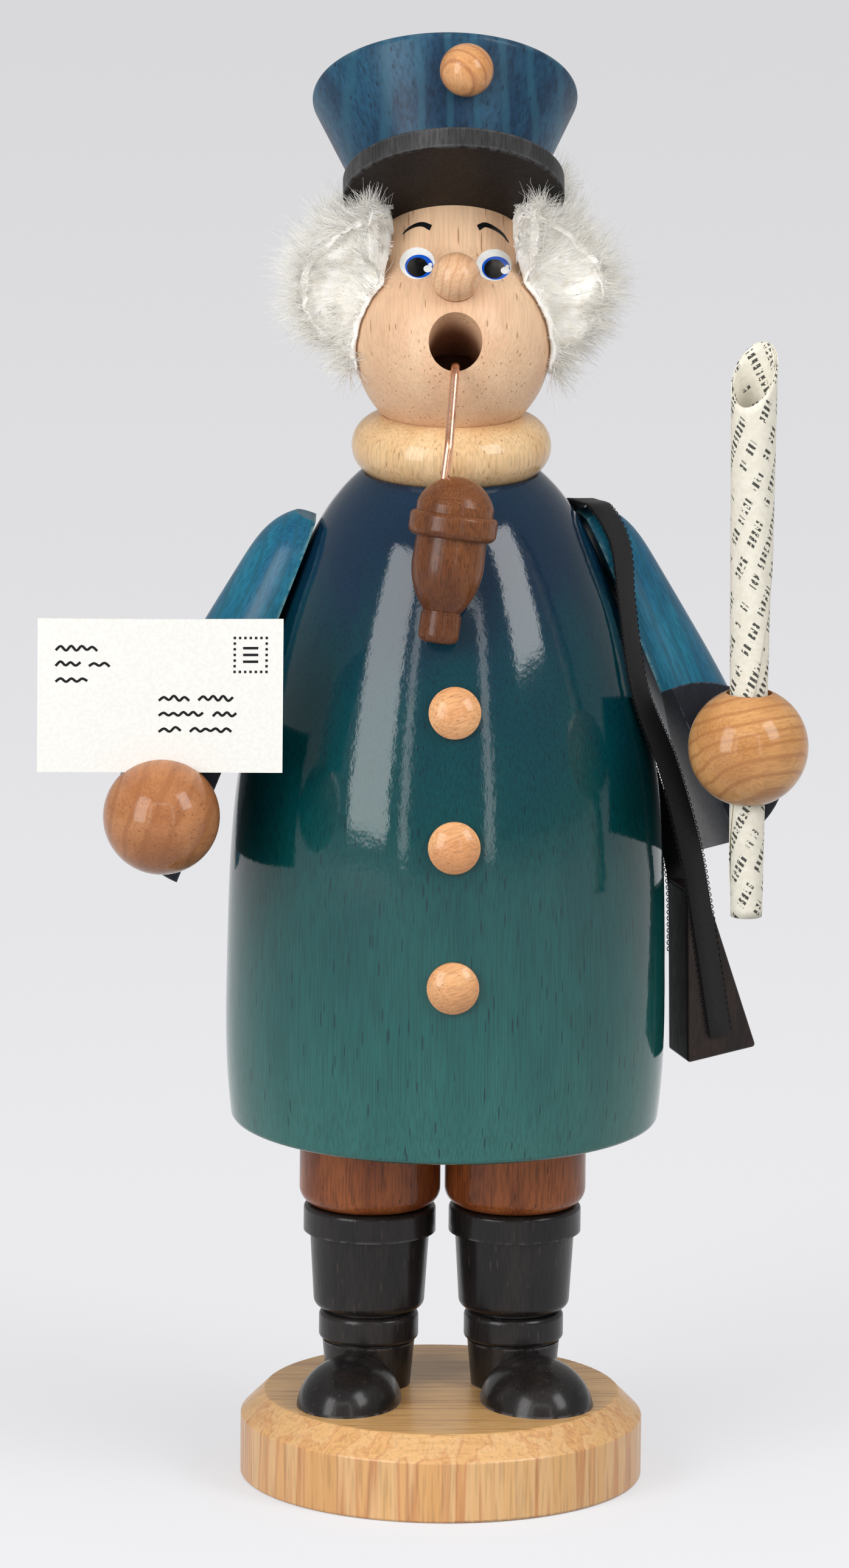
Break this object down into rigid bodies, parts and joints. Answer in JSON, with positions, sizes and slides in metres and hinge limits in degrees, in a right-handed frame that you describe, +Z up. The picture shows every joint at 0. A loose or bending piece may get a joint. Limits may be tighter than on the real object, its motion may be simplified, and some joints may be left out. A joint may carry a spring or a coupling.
{
  "type": "incense smoker figure",
  "caption": "Turned wooden smoking mailman on a round base; the hollow figure lifts off the legs to reach the incense tray, and smoke leaves by the round mouth.",
  "frame": {"origin": "middle of the base's flat underside", "axes": "+Z up, the face looks along -Y, the letter is on the -X side"},
  "size_m": [0.1117, 0.07, 0.2157],
  "materials": {
    "ash": "clear satin lacquer over ring-porous ash",
    "black_stain": "black stain under satin lacquer, grain showing",
    "brown_stain": "red-brown stain under satin lacquer",
    "raw_beech": "sawn and unfinished",
    "tray_metal": "plain pressed tinplate",
    "blue_stain": "petrol blue stain under gloss lacquer, fine vertical grain",
    "sleeve_stain": "petrol blue stain, satin, worn pale on the edge",
    "navy_stain": "near-black blue stain, satin",
    "pale_wood": "clear satin lacquer",
    "face_beech": "clear matt lacquer, beech flecks",
    "bead_wood": "clear satin lacquer",
    "white_fur": "long soft white fur",
    "letter_paper": "matt white card with ink squiggles",
    "newsprint": null,
    "bag_brown": "very dark brown stain, satin",
    "black_ribbon": "woven satin ribbon with looped edges",
    "copper": "bright drawn copper wire",
    "walnut": "clear satin lacquer over dark walnut"
  },
  "bodies": {
    "stand": {"base_plate": "ash", "left_boot": "black_stain", "right_boot": "black_stain", "left_toe": "black_stain", "right_toe": "black_stain", "left_trouser_leg": "brown_stain", "right_trouser_leg": "brown_stain", "leg_dowels": "raw_beech", "hip_plug": "raw_beech", "incense_tray": "tray_metal", "tray_pin": "tray_metal"},
    "figure": {"coat": "blue_stain", "neck_tube": "raw_beech", "collar_ring": "pale_wood", "head": "face_beech", "nose": "face_beech", "hair": "white_fur", "cap_visor": "black_stain", "cap_crown": "blue_stain", "cap_badge": "bead_wood", "coat_buttons": "bead_wood", "left_upper_sleeve": "sleeve_stain", "right_upper_sleeve": "sleeve_stain", "left_forearm": "navy_stain", "right_forearm": "navy_stain", "arm_dowels": "raw_beech", "left_hand": "bead_wood", "right_hand": "bead_wood", "letter": "letter_paper", "newspaper_roll": "newsprint", "mail_bag": "bag_brown", "bag_strap": "black_ribbon", "pipe_stem": "copper", "pipe_bowl": "walnut"}
  },
  "joints": [
    {"name": "figure_lift", "type": "slide", "parent": "stand", "child": "figure", "axis": [0, 0, 1], "range_m": [0, 0.04]}
  ]
}
